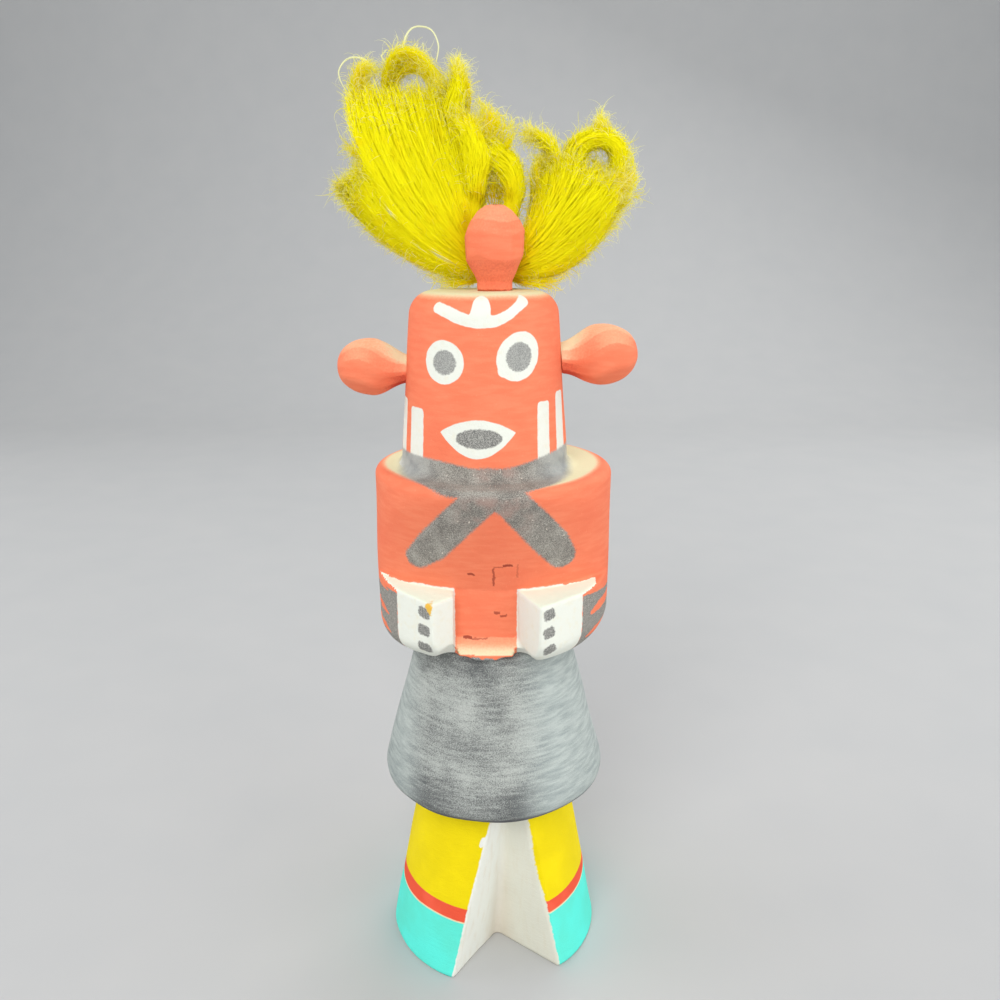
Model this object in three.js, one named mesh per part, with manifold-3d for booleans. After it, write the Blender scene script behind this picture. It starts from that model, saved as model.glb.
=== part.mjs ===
// A small carved and painted wooden doll. The head, torso, kilt and legs are turned and cut from one
// round stick, the two ears and the top knob are whittled pegs, and a dyed feather tuft in two lobes
// stands behind the knob.
// Millimetres, +Z up, the doll faces -Y, the origin is at the stick's centre on the underside.
import * as THREE from 'three';
import { mergeVertices } from 'three/addons/utils/BufferGeometryUtils.js';
import { ParametricGeometry } from 'three/addons/geometries/ParametricGeometry.js';
import Module from 'manifold-3d';

const wasm = await Module();
wasm.setup();

// ---------- driving sizes ----------

const JOINT_GAP = 0.3;        // clearance between pieces that are glued together
const STICK_RADIUS = 27.6;    // the round stick that the doll is cut from
const BODY_SIDES = 60;        // facets around the turned body
const ARC_STEPS = 5;          // facets along a rounded edge

const LEGS = { footRadius: 26.8, topRadius: 18.4, footRounding: 0.8, overlap: 1.5 };
const KILT = { bottomZ: 45, topZ: 85.2, hemRadius: 28.6, waistRadius: 17.9, hemRounding: 4.8 };
const TORSO = { bottomZ: 83.2, topZ: 125.7, bottomRounding: 8.9, shoulderRounding: 1.8 };
const HEAD = { topZ: 165, neckRadius: 19.4, crownRadius: 16.4, crownRounding: 4.9, offsetX: -2, overlap: 2 };

// The chest is cut back to an ellipse that leans in from the shoulders down to the hands.
const CHEST = {
  halfWidth: 28.8,            // past the stick, so that an arris is left along each arm
  backDepth: 32,
  shoulderZ: 124,
  handZ: 100,
  handDepth: 17.3,            // front of the chest, at the hands and down the recess between them
  recessZ: 88.6,              // foot of the recess
  ledgeZ: 85.5,               // foot of the sloped ledge below it
  ledgeDepth: 20.5,
};

// Each hand is a block left standing on the chest, with a level top that tips a little forward.
const HAND_TOP = { frontZ: 99.2, frontY: -24.5, slope: 0.12 };
const HAND_LEFT = [[-9.2, -12], [-8.9, -20.2], [-13.6, -24], [-21.8, -16.9], [-40, -16.9], [-40, -3]];
const HAND_RIGHT = [[5.4, -12], [5.7, -18], [10.3, -25.6], [19.9, -19.1], [40, -19.1], [40, -3]];

// A groove parts the legs: the line of its foot, and from there to its two edges, at both heights.
const GROOVE_FRONT = {
  lower: { z: -1, foot: [0.5, -8.8], toLeft: [-10.4, -15.1], toRight: [15.4, -12.0] },
  upper: { z: 46, foot: [3, -15.9], toLeft: [-2.7, -2.9], toRight: [4.4, -1.5] },
};
const GROOVE_BACK = {
  lower: { z: -1, foot: [0, 13], toLeft: [9, 12], toRight: [-9, 12] },
  upper: { z: 46, foot: [0, 16.6], toLeft: [2.6, 1.6], toRight: [-2.6, 1.6] },
};
const GROOVE_REACH = 2.4;     // how far past its edges the cutter goes, as a share of the way to them
const GROOVE_TIP = 0.14;      // share of that way over which its foot is rounded

// The ears are pears on their side: distance from the tip and radius, in bulb radii.
const EAR_PROFILE = [
  [0, 0], [0.1, 0.44], [0.34, 0.74], [0.62, 0.89], [1.25, 1], [1.6, 0.9], [1.9, 0.75], [2.2, 0.6],
  [2.5, 0.53], [3.2, 0.5],
];
const EAR_SIDES = 18;
const EAR_STEPS = 15;
const EAR_LEFT = { side: -1, bulbRadius: 6.45, tip: [-35.4, 0, 148.5], rise: 0.06 };
const EAR_RIGHT = { side: 1, bulbRadius: 6.9, tip: [32.8, 0, 151.5], rise: 0.09 };

// The top knob is whittled in bands: radius and height above the head.
const KNOB_PROFILE = [
  [0, 0], [3.95, 0], [3.95, 2], [4.5, 3.8], [6.3, 7], [6.75, 9.4], [6.3, 12.4], [4.4, 16.5],
  [2.6, 18.1], [0, 18.4],
];
const KNOB_SIDES = 14;
const KNOB_X = 0.4;

// The feather tuft: the outline of each lobe in the XZ plane, and how thick it is from front to back.
const PLUME_LEFT = {
  outline: [
    [-4, 165.9], [0, 177], [2, 186], [4.6, 191.5], [1.5, 198], [-5.3, 205], [-11.5, 212.3],
    [-19.5, 214.8], [-27.5, 210.5], [-32.6, 200], [-33.6, 188], [-30, 178.5], [-22, 171.3], [-13, 167],
  ],
  centre: [-13, 189],
  y: 8.4,
  halfDepth: 8.6,
};
const PLUME_RIGHT = {
  outline: [
    [2.8, 166.2], [10, 165.9], [18, 167], [25, 172.5], [28.6, 181], [30.2, 190], [28.5, 198],
    [23, 200.5], [17.5, 198.2], [12, 196.8], [9, 191.5], [8.4, 186.5], [5.6, 181.5], [2.6, 175],
  ],
  centre: [17, 182],
  y: 8.2,
  halfDepth: 7.8,
};
const PLUME_SIDES = 30;
const PLUME_RINGS = 10;

// ---------- materials ----------

function paint(color, roughness) {
  return new THREE.MeshStandardMaterial({ color, roughness, metalness: 0 });
}

const redPaint = paint(0xf58e68, 0.75);
const yellowFeather = paint(0xe8dc08, 0.95);

// ---------- solids ----------

// A three.js geometry as a closed solid: shared corners merged, empty triangles dropped.
function solid(geometry) {
  geometry.deleteAttribute('normal');
  geometry.deleteAttribute('uv');
  const merged = mergeVertices(geometry, 1e-4);
  const triVerts = [];
  for (let i = 0; i < merged.index.count; i += 3) {
    const corners = [0, 1, 2].map((k) => merged.index.getX(i + k));
    if (new Set(corners).size === 3) triVerts.push(...corners);
  }
  return new wasm.Manifold(new wasm.Mesh({
    numProp: 3,
    vertProperties: merged.attributes.position.array,
    triVerts: new Uint32Array(triVerts),
  }));
}

function meshOf(name, shape, material) {
  const { vertProperties, triVerts } = shape.getMesh();
  const geometry = new THREE.BufferGeometry();
  geometry.setAttribute('position', new THREE.BufferAttribute(vertProperties, 3));
  geometry.setIndex(new THREE.BufferAttribute(triVerts, 1));
  geometry.computeVertexNormals();
  const mesh = new THREE.Mesh(geometry, material);
  mesh.name = name;
  return mesh;
}

// Moves every vertex of a geometry: change(point) edits the point in place.
function reshape(geometry, change) {
  const { position } = geometry.attributes;
  const point = new THREE.Vector3();
  for (let i = 0; i < position.count; i += 1) {
    point.fromBufferAttribute(position, i);
    change(point);
    position.setXYZ(i, point.x, point.y, point.z);
  }
  return geometry;
}

// A lathe profile through [radius, height, rounding] corners, each rounding an arc.
function profile(corners) {
  const at = (i) => new THREE.Vector2(corners[i][0], corners[i][1]);
  return corners.flatMap(([, , rounding], i) => {
    const corner = at(i);
    if (!rounding) return [corner];
    const back = at(i - 1).sub(corner).normalize();
    const ahead = at(i + 1).sub(corner).normalize();
    const halfAngle = Math.acos(back.dot(ahead)) / 2;
    const toCentre = rounding / Math.sin(halfAngle);
    const toTangent = rounding / Math.tan(halfAngle);
    const centre = back.clone().add(ahead).setLength(toCentre).add(corner);
    const start = corner.clone().addScaledVector(back, toTangent).sub(centre);
    const end = corner.clone().addScaledVector(ahead, toTangent).sub(centre);
    const turn = Math.atan2(start.cross(end), start.dot(end));
    const origin = new THREE.Vector2();
    return Array.from({ length: ARC_STEPS + 1 }, (_, k) => (
      start.clone().rotateAround(origin, (turn * k) / ARC_STEPS).add(centre)));
  });
}

// A turned shape about Z, from profile points that run from its foot up to its top.
function turned(points, sides) {
  return new THREE.LatheGeometry(points, sides).rotateX(Math.PI / 2);
}

// A flat outline standing from one height to another.
function prism(outline, fromZ, toZ) {
  const shape = new THREE.Shape(outline.map(([x, y]) => new THREE.Vector2(x, y)));
  return new THREE.ExtrudeGeometry(shape, { depth: toZ - fromZ, bevelEnabled: false }).translate(0, 0, fromZ);
}

// ---------- the body, one solid ----------

// How far forward the cut-back front of the torso reaches at a height.
function chestDepth(z) {
  if (z >= CHEST.handZ) {
    return THREE.MathUtils.mapLinear(z, CHEST.handZ, CHEST.shoulderZ, CHEST.handDepth, STICK_RADIUS);
  }
  return z > CHEST.ledgeZ ? CHEST.handDepth : CHEST.ledgeDepth;
}

// The column that keeps the chest, the recess and its ledge, as deep in front as chestDepth says.
function chestColumn() {
  const top = TORSO.topZ + 1;
  const levels = [TORSO.bottomZ - 1, CHEST.ledgeZ, CHEST.recessZ, CHEST.handZ, top];
  const rim = levels.map((z) => new THREE.Vector2(1, z));
  const column = turned([new THREE.Vector2(0, levels[0]), ...rim, new THREE.Vector2(0, top)], BODY_SIDES);
  return reshape(column, (point) => {
    point.x *= CHEST.halfWidth;
    point.y *= point.y < 0 ? chestDepth(point.z) : CHEST.backDepth;
  });
}

function handBlock(outline) {
  const block = prism(outline, TORSO.bottomZ - 1, HAND_TOP.frontZ);
  return reshape(block, (point) => {
    if (point.z > TORSO.bottomZ) point.z += HAND_TOP.slope * (point.y - HAND_TOP.frontY);
  });
}

function torso() {
  const stick = turned(profile([
    [0, TORSO.bottomZ],
    [STICK_RADIUS, TORSO.bottomZ, TORSO.bottomRounding],
    [STICK_RADIUS, TORSO.topZ, TORSO.shoulderRounding],
    [0, TORSO.topZ],
  ]), BODY_SIDES);
  const front = solid(chestColumn()).add(solid(handBlock(HAND_LEFT))).add(solid(handBlock(HAND_RIGHT)));
  return solid(stick).intersect(front);
}

// The groove's cutter: a wedge with a rounded foot, carried from its lower section to its upper one.
function grooveCutter({ lower, upper }) {
  const wedge = new THREE.Shape();
  wedge.moveTo(GROOVE_TIP, 0);
  wedge.lineTo(GROOVE_REACH, 0);
  wedge.lineTo(0, GROOVE_REACH);
  wedge.lineTo(0, GROOVE_TIP);
  wedge.quadraticCurveTo(0, 0, GROOVE_TIP, 0);
  const cutter = new THREE.ExtrudeGeometry(wedge, { depth: 1, bevelEnabled: false, curveSegments: 4 });
  const { lerp } = THREE.MathUtils;
  return reshape(cutter, (point) => {
    const { x: left, y: right, z: share } = point;
    const place = (axis) => lerp(lower.foot[axis], upper.foot[axis], share)
      + left * lerp(lower.toLeft[axis], upper.toLeft[axis], share)
      + right * lerp(lower.toRight[axis], upper.toRight[axis], share);
    point.set(place(0), place(1), lerp(lower.z, upper.z, share));
  });
}

function legs() {
  const top = KILT.bottomZ + LEGS.overlap;
  const cone = turned(profile([
    [0, 0],
    [LEGS.footRadius, 0, LEGS.footRounding],
    [LEGS.topRadius, KILT.bottomZ],
    [LEGS.topRadius, top],
    [0, top],
  ]), BODY_SIDES);
  return solid(cone)
    .subtract(solid(grooveCutter(GROOVE_FRONT)))
    .subtract(solid(grooveCutter(GROOVE_BACK)));
}

function kilt() {
  return solid(turned(profile([
    [0, KILT.bottomZ],
    [KILT.hemRadius, KILT.bottomZ, KILT.hemRounding],
    [KILT.waistRadius, KILT.topZ],
    [0, KILT.topZ],
  ]), BODY_SIDES));
}

// The head, or with a margin the space that the ears keep clear of.
function head(margin = 0) {
  const foot = TORSO.topZ - HEAD.overlap;
  return solid(turned(profile([
    [0, foot],
    [HEAD.neckRadius + margin, foot],
    [HEAD.neckRadius + margin, TORSO.topZ],
    [HEAD.crownRadius + margin, HEAD.topZ, HEAD.crownRounding],
    [0, HEAD.topZ],
  ]), BODY_SIDES).translate(HEAD.offsetX, 0, 0));
}

// ---------- ears, knob and feathers ----------

function ear({ side, bulbRadius, tip, rise }) {
  const outline = new THREE.SplineCurve(EAR_PROFILE.map(([along, radius]) => (
    new THREE.Vector2(radius, along).multiplyScalar(bulbRadius))));
  const points = outline.getPoints(EAR_STEPS);
  points[0].x = 0;
  points.push(new THREE.Vector2(0, points.at(-1).y));
  const inward = new THREE.Vector3(-side, 0, -rise).normalize();
  const up = new THREE.Vector3(0, 1, 0);
  const peg = new THREE.LatheGeometry(points, EAR_SIDES)
    .applyQuaternion(new THREE.Quaternion().setFromUnitVectors(up, inward))
    .translate(...tip);
  return solid(peg).subtract(head(JOINT_GAP));
}

// The knob, or with a margin the space that the feathers keep clear of.
function knob(margin = 0) {
  const points = KNOB_PROFILE.map(([radius, height]) => (
    new THREE.Vector2(radius ? radius + margin : 0, height + (height ? margin : -margin))));
  return solid(turned(points, KNOB_SIDES).translate(KNOB_X, 0, HEAD.topZ + JOINT_GAP));
}

function plume({ outline, centre, y, halfDepth }) {
  const edge = new THREE.CatmullRomCurve3(outline.map(([x, z]) => new THREE.Vector3(x, y, z)), true);
  const middle = new THREE.Vector3(centre[0], y, centre[1]);
  const lobe = new ParametricGeometry((u, v, target) => {
    target.copy(edge.getPoint(u % 1)).sub(middle).multiplyScalar(Math.sin(Math.PI * v)).add(middle);
    target.y += halfDepth * Math.cos(Math.PI * v);
  }, PLUME_SIDES, PLUME_RINGS);
  return solid(lobe).subtract(knob(JOINT_GAP));
}

// ---------- assembly ----------

const doll = new THREE.Group();
doll.add(meshOf('body', legs().add(kilt()).add(torso()).add(head()), redPaint));
doll.add(meshOf('ear_left', ear(EAR_LEFT), redPaint));
doll.add(meshOf('ear_right', ear(EAR_RIGHT), redPaint));
doll.add(meshOf('top_knob', knob(), redPaint));
doll.add(meshOf('plume_left', plume(PLUME_LEFT), yellowFeather));
doll.add(meshOf('plume_right', plume(PLUME_RIGHT), yellowFeather));

export default doll;
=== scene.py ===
import math
from functools import partial
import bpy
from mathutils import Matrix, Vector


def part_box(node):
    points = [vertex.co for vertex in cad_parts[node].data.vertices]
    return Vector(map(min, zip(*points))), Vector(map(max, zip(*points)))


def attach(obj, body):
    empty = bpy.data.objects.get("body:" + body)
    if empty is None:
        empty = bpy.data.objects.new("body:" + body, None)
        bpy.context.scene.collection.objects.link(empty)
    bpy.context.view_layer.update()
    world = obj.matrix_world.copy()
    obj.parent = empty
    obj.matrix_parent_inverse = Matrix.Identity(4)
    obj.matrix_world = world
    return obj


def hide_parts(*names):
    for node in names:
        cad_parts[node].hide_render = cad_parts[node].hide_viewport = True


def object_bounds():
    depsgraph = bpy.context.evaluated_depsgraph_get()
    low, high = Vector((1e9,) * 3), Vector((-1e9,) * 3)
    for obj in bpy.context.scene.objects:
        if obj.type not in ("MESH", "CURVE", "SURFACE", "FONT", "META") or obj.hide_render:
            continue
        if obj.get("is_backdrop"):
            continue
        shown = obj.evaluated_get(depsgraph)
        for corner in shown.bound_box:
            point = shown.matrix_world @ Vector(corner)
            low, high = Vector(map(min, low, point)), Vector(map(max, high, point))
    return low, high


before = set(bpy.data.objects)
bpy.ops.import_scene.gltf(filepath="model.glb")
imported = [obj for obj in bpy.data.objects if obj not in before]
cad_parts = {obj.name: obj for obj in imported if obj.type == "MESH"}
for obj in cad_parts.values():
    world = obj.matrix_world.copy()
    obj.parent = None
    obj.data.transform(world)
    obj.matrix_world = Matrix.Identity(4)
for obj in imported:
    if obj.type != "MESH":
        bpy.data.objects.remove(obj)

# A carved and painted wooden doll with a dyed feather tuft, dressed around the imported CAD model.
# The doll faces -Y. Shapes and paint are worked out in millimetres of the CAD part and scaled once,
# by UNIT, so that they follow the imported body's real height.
from types import SimpleNamespace as Sizes
import bmesh
import bpy
import numpy as np
from mathutils import Matrix, Vector

cad_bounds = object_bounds()
BODY_HEIGHT = 165.0                     # the wooden body, floor to crown, in the part's millimetres
UNIT = (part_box("body")[1].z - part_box("body")[0].z) / BODY_HEIGHT
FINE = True

# ---------- sizes of the turned and carved body, in millimetres ----------

STICK_RADIUS = 27.6
LEGS = Sizes(foot=26.8, top=18.4, rounding=0.8, overlap=1.5)
KILT = Sizes(hem=28.6, waist=17.9, low=45.0, high=85.2, rounding=4.8, fillet=0.4)
TORSO = Sizes(low=83.2, high=125.7, bottom_rounding=8.9, shoulder_rounding=1.8, fillet=2.4)
HEAD = Sizes(x=-2.0, neck=19.4, crown=16.4, high=165.0, rounding=4.9, overlap=3.0)
CHEST = Sizes(half_width=28.8, fillet=0.3, behind=-8.0,
              heights=[85.5, 88.6, 100, 124, 126], depths=[20.5, 17.3, 17.3, 27.6, 28.5])
# The torso's lower edge rises between the hands and at their inner corners, and is sharper at the left.
LOWER_EDGE = Sizes(middle=-1.75, rise=1.5, corner_rise=2.6, left_sharper=2.6)
HAND_TOP = Sizes(z=99.2, y=-24.5, slope=0.12)
HAND_LEFT = [(-9.2, -12), (-8.9, -20.2), (-13.6, -24), (-21.8, -16.9), (-40, -16.9), (-40, -3)]
HAND_RIGHT = [(5.4, -12), (5.7, -18), (10.3, -25.6), (19.9, -19.1), (40, -19.1), (40, -3)]
# A groove is the line of its foot and the ways from there to its two edges, at both its heights.
GROOVE_HEIGHTS = (-1.0, 46.0)
GROOVE_ROUNDING = 1.6
GROOVE_FRONT = [((0.5, -8.8), (3, -15.9)), ((-10.4, -15.1), (-2.7, -2.9)), ((15.4, -12.0), (4.4, -1.5))]
GROOVE_BACK = [((0, 13), (0, 16.6)), ((9, 12), (2.6, 1.6)), ((-9, 12), (-2.6, 1.6))]
EDGE = 0.45                             # how round a knife-cut edge is
CORNER = 0.36                           # where a whittled flat ends and its soft corner starts
PEAR = Sizes(middle=1.25, taper=1.35, power=2.2, peg=0.5, twist=0.25)
EARS = {
    "ear_left": Sizes(side=-1, bulb=6.45, tip=(-35.4, 0, 148.5), rise=0.06, facets=9, turn=0.2, reach=18.0),
    "ear_right": Sizes(side=1, bulb=6.9, tip=(32.8, 0, 151.5), rise=0.09, facets=8, turn=0.5, reach=20.5),
}
KNOB = Sizes(x=0.4, facets=8, turn=0.1, root=0.6, tip=18.22,
             heights=[-1, 0, 2.0, 6.9, 12.2, 14.8, 16.8, 18.0, 18.45],
             radii=[4.3, 4.0, 4.0, 6.45, 6.75, 5.6, 3.9, 2.1, 0.0],
             wave=0.9, wave_height=10, wave_reach=5.0, widest=6.9)


# ---------- distance fields, negative inside ----------

def length(*parts):
    return np.sqrt(sum(part * part for part in parts))


def meet(a, b, rounding):
    """The common part of two shapes, its edge rounded."""
    past_edge = length(np.maximum(a + rounding, 0), np.maximum(b + rounding, 0))
    return np.minimum(-rounding, np.maximum(a, b)) + past_edge


def join(a, b, rounding):
    """Two shapes as one, with a fillet between them."""
    return -meet(-a, -b, rounding)


def cone(radius, z, low, high):
    """Distance to a cone's side through two (radius, z) points."""
    (r0, z0), (r1, z1) = low, high
    return ((radius - r0) * (z1 - z0) - (z - z0) * (r1 - r0)) / math.hypot(r1 - r0, z1 - z0)


def polygon(x, y, corners):
    """Distance to a flat outline."""
    nearest = np.full(x.shape, 1e9)
    inside = np.zeros(x.shape, bool)
    for (ax, ay), (bx, by) in zip(corners, corners[1:] + corners[:1]):
        ex, ey = bx - ax, by - ay
        wx, wy = x - ax, y - ay
        along = np.clip((wx * ex + wy * ey) / (ex * ex + ey * ey), 0, 1)
        nearest = np.minimum(nearest, length(wx - ex * along, wy - ey * along))
        if ay != by:
            inside ^= ((ay > y) != (by > y)) & (x < ax + ex * (y - ay) / ey)
    return np.where(inside, -nearest, nearest)


def groove(x, y, z, lines):
    """Distance into a groove between the legs, positive inside it."""
    share = (z - GROOVE_HEIGHTS[0]) / (GROOVE_HEIGHTS[1] - GROOVE_HEIGHTS[0])
    foot, one, other = [[low[k] + share * (high[k] - low[k]) for k in (0, 1)] for low, high in lines]
    dx, dy = x - foot[0], y - foot[1]
    turn = one[0] * other[1] - one[1] * other[0]
    from_other = (dx * other[1] - dy * other[0]) / length(*other) * np.sign(turn)
    from_one = (one[0] * dy - one[1] * dx) / length(*one) * np.sign(turn)
    return join(from_one, from_other, GROOVE_ROUNDING)


def grooves(x, y, z):
    return np.maximum(groove(x, y, z, GROOVE_FRONT), groove(x, y, z, GROOVE_BACK))


def hand_top(y, z):
    """Height above the hands' sloping tops."""
    return z - HAND_TOP.z - HAND_TOP.slope * (y - HAND_TOP.y)


def legs_field(x, y, z):
    side = cone(length(x, y), z, (LEGS.foot, 0), (LEGS.top, KILT.low))
    solid = np.maximum(meet(side, -z, LEGS.rounding), z - KILT.low - LEGS.overlap)
    return meet(solid, grooves(x, y, z), EDGE)


def kilt_field(x, y, z):
    side = cone(length(x, y), z, (KILT.hem, KILT.low), (KILT.waist, KILT.high))
    return np.maximum(meet(side, KILT.low - z, KILT.rounding), z - KILT.high)


def lower_edge_rise(x, y):
    """How far the torso's lower edge is raised between the hands, and at their inner corners."""
    across = np.abs(x - LOWER_EDGE.middle)
    between = ease(-y, 8, 15) * ease(-across, -13, -8) * (1 - 0.5 * ease(-across, -4.5, -2))
    corners = ease(-y, 17, 19.8) * ease(-across, -11.5, -7.2) * ease(across, 6, 7)
    return LOWER_EDGE.rise * between + LOWER_EDGE.corner_rise * corners


def chest_field(x, y, z):
    """The chest's flattened front, which the hands stand out of."""
    depth = np.interp(z, CHEST.heights, CHEST.depths)
    reach = length(x / CHEST.half_width, y / depth)
    steepness = length(x / CHEST.half_width ** 2, y / depth ** 2) + 1e-9
    return np.where(y < 0, reach * (reach - 1) / steepness, CHEST.behind)


def torso_field(x, y, z):
    """The drum of shoulders and chest, with the hands standing out of its front."""
    drum = meet(length(x, y) - STICK_RADIUS, z - TORSO.high, TORSO.shoulder_rounding)
    rounding = TORSO.bottom_rounding - LOWER_EDGE.left_sharper * ease(-x, 14, 26)
    drum = meet(drum, TORSO.low + lower_edge_rise(x, y) - z, rounding)
    front = chest_field(x, y, z)
    for outline in (HAND_LEFT, HAND_RIGHT):
        front = join(front, meet(polygon(x, y, outline), hand_top(y, z), EDGE), CHEST.fillet)
    return meet(drum, front, EDGE)


def head_field(x, y, z):
    side = cone(length(x - HEAD.x, y), z, (HEAD.neck, TORSO.high), (HEAD.crown, HEAD.high))
    return np.maximum(meet(side, z - HEAD.high, HEAD.rounding), TORSO.high - HEAD.overlap - z)


def upper_field(x, y, z):
    return join(torso_field(x, y, z), head_field(x, y, z), TORSO.fillet)


def lower_field(x, y, z):
    return join(legs_field(x, y, z), kilt_field(x, y, z), KILT.fillet)


def ear_field(ear):
    """A whittled pear on a peg, its peg running into the head."""
    inward = np.array([-ear.side, 0, -ear.rise]) / math.hypot(1, ear.rise)
    upward = np.array([-inward[2], 0, inward[0]]) * -ear.side

    def field(x, y, z):
        offset = (x - ear.tip[0], y - ear.tip[1], z - ear.tip[2])
        along = (offset[0] * inward[0] + offset[2] * inward[2]) / ear.bulb
        lift = offset[0] * upward[0] + offset[2] * upward[2]
        turn = ear.turn + PEAR.twist * np.sin(2.2 * along)
        around = whittled(y, lift, ear.facets, turn) / ear.bulb
        taper = np.clip((along - PEAR.middle) / PEAR.taper, 0, 1)
        waist = PEAR.peg + 0.5 * (1 - PEAR.peg) * (1 + np.cos(math.pi * taper))
        before = np.maximum(PEAR.middle - along, 0) / PEAR.middle
        dome = (before ** PEAR.power + (around / waist) ** PEAR.power) ** (1 / PEAR.power) - 1
        peg_end = along - ear.reach / ear.bulb
        return ear.bulb * np.maximum(dome * waist, peg_end)
    return field


def knob_field(x, y, z):
    """A whittled knob: a neck, a cone, a band and a dome, each cut in flats."""
    dx = x - KNOB.x
    height = z - HEAD.high
    near_wave = np.exp(-((height - KNOB.wave_height) / KNOB.wave_reach) ** 2)
    height = height + KNOB.wave * np.sin(3 * np.arctan2(dx, -y) + 0.4) * near_wave
    around = whittled(dx, -y, KNOB.facets, KNOB.turn)
    side = np.interp(height, KNOB.heights, KNOB.radii)
    ends = np.maximum(height - KNOB.tip, -(z - HEAD.high + KNOB.root))
    return np.maximum(around - side, ends)


def whittled(u, v, facets, turn):
    """The distance from an axis, measured so that equal distances make a ring of flats with soft corners."""
    angle = np.arctan2(u, v) - turn
    pitch = 2 * math.pi / facets
    off_middle = (angle + pitch / 2) % pitch - pitch / 2
    reach = length(u, v)
    return np.maximum(reach, reach * np.cos(off_middle) / math.cos(CORNER * pitch))


# ---------- meshes ----------

SETTLING_ROUNDS = 6
LONGEST_MOVE = 0.8


def waves(points, wavelength, seed):
    """A smooth uneven value from about -1 to 1, for hand-cut surfaces."""
    source = np.random.default_rng(seed)
    total = np.zeros(len(points))
    for _ in range(7):
        direction = source.normal(size=3)
        direction *= 2 * math.pi / (wavelength * source.uniform(0.7, 1.5) * np.linalg.norm(direction))
        total += np.sin(points @ direction + source.uniform(0, 2 * math.pi))
    return total / 3.5


def slope(field, points):
    """The field's direction at each point, as vectors of about unit length."""
    step = 0.02
    parts = []
    for axis in np.eye(3) * step:
        parts.append((field(*(points + axis).T) - field(*(points - axis).T)) / (2 * step))
    return np.stack(parts, 1)


def unit(ways):
    """Directions as vectors of length 1."""
    return ways / (np.linalg.norm(ways, axis=-1, keepdims=True) + 1e-9)


def settle(points, field):
    """Moves points straight onto the surface where the field is zero."""
    for _ in range(SETTLING_ROUNDS):
        ways = slope(field, points)
        steepness = np.maximum((ways ** 2).sum(1), 0.2)
        moves = -(field(*points.T) / steepness)[:, None] * ways
        size = np.linalg.norm(moves, axis=1, keepdims=True)
        points = points + moves * np.minimum(1, LONGEST_MOVE / np.maximum(size, 1e-9))
    return points


def placed(name, data):
    """A new object, put in the scene."""
    thing = bpy.data.objects.new(name, data)
    bpy.context.scene.collection.objects.link(thing)
    return thing


def applied(mesh, kind, **settings):
    """A mesh after one modifier."""
    holder = placed("holder", mesh)
    modifier = holder.modifiers.new("change", kind)
    for name, value in settings.items():
        setattr(modifier, name, value)
    result = bpy.data.meshes.new_from_object(holder.evaluated_get(bpy.context.evaluated_depsgraph_get()))
    bpy.data.objects.remove(holder)
    return result


def new_mesh(name, points, faces):
    """A mesh from points in millimetres."""
    mesh = bpy.data.meshes.new(name)
    mesh.from_pydata((np.asarray(points) * UNIT).tolist(), [], faces)
    return mesh


def mesh_points(mesh):
    """A mesh's points in millimetres."""
    points = np.empty(len(mesh.vertices) * 3, np.float32)
    mesh.vertices.foreach_get("co", points)
    return points.reshape(-1, 3).astype(float) / UNIT


def set_points(mesh, points):
    mesh.vertices.foreach_set("co", (points * UNIT).astype(np.float32).ravel())
    mesh.update()


def set_mark(mesh, name, values):
    """Stores one number a point, which a material reads by name."""
    attribute = mesh.attributes.new(name, "FLOAT", "POINT")
    attribute.data.foreach_set("value", np.broadcast_to(values, len(mesh.vertices)).astype(np.float32))


def add_piece(name, mesh, material):
    """A piece of the doll from a mesh, on its one body and material."""
    mesh.polygons.foreach_set("use_smooth", np.ones(len(mesh.polygons), bool))
    piece = placed(name, mesh)
    mesh.materials.clear()
    mesh.materials.append(material)
    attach(piece, "root")
    return piece


def kept_part(mesh, cut, above):
    """The closed part of a mesh above or below a height, in millimetres."""
    size = 400 * UNIT
    middle = cut * UNIT + (size / 2 if above else -size / 2)
    work = bmesh.new()
    bmesh.ops.create_cube(work, size=size, matrix=Matrix.Translation((0, 0, middle)))
    block = bpy.data.meshes.new("block")
    work.to_mesh(block)
    work.free()
    cutter = placed("cutter", block)
    result = applied(mesh, "BOOLEAN", operation="INTERSECT", object=cutter, solver="EXACT")
    bpy.data.objects.remove(cutter)
    return result


# ---------- painted marks: distances in millimetres, positive inside a mark ----------

def ease(value, low, high):
    """0 below low, 1 above high, and a soft step between."""
    share = np.clip((value - low) / (high - low), 0, 1)
    return share * share * (3 - 2 * share)


def stroke(u, v, points):
    """A brush stroke through (u, v, half width) points."""
    best = np.full(u.shape, -50.0)
    for (u0, v0, w0), (u1, v1, w1) in zip(points, points[1:]):
        du, dv = u1 - u0, v1 - v0
        share = np.clip(((u - u0) * du + (v - v0) * dv) / (du * du + dv * dv), 0, 1)
        best = np.maximum(best, w0 + share * (w1 - w0) - length(u - u0 - share * du, v - v0 - share * dv))
    return best


def turned_by(u, v, centre, degrees):
    """Places measured from a centre, along axes turned by some degrees."""
    cosine, sine = math.cos(math.radians(degrees)), math.sin(math.radians(degrees))
    du, dv = u - centre[0], v - centre[1]
    return du * cosine + dv * sine, dv * cosine - du * sine


def oval(u, v, centre, half, tilt=0.0):
    """An ellipse, tilted by some degrees."""
    a, b = turned_by(u, v, centre, tilt)
    reach = length(a / half[0], b / half[1])
    return reach * (1 - reach) / (length(a / half[0] ** 2, b / half[1] ** 2) + 1e-9)


def bar(u, v, across, upward, rounding):
    """An upright rectangle with rounded corners."""
    a = np.abs(u - sum(across) / 2) - (across[1] - across[0]) / 2
    b = np.abs(v - sum(upward) / 2) - (upward[1] - upward[0]) / 2
    return -meet(a, b, rounding)


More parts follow.
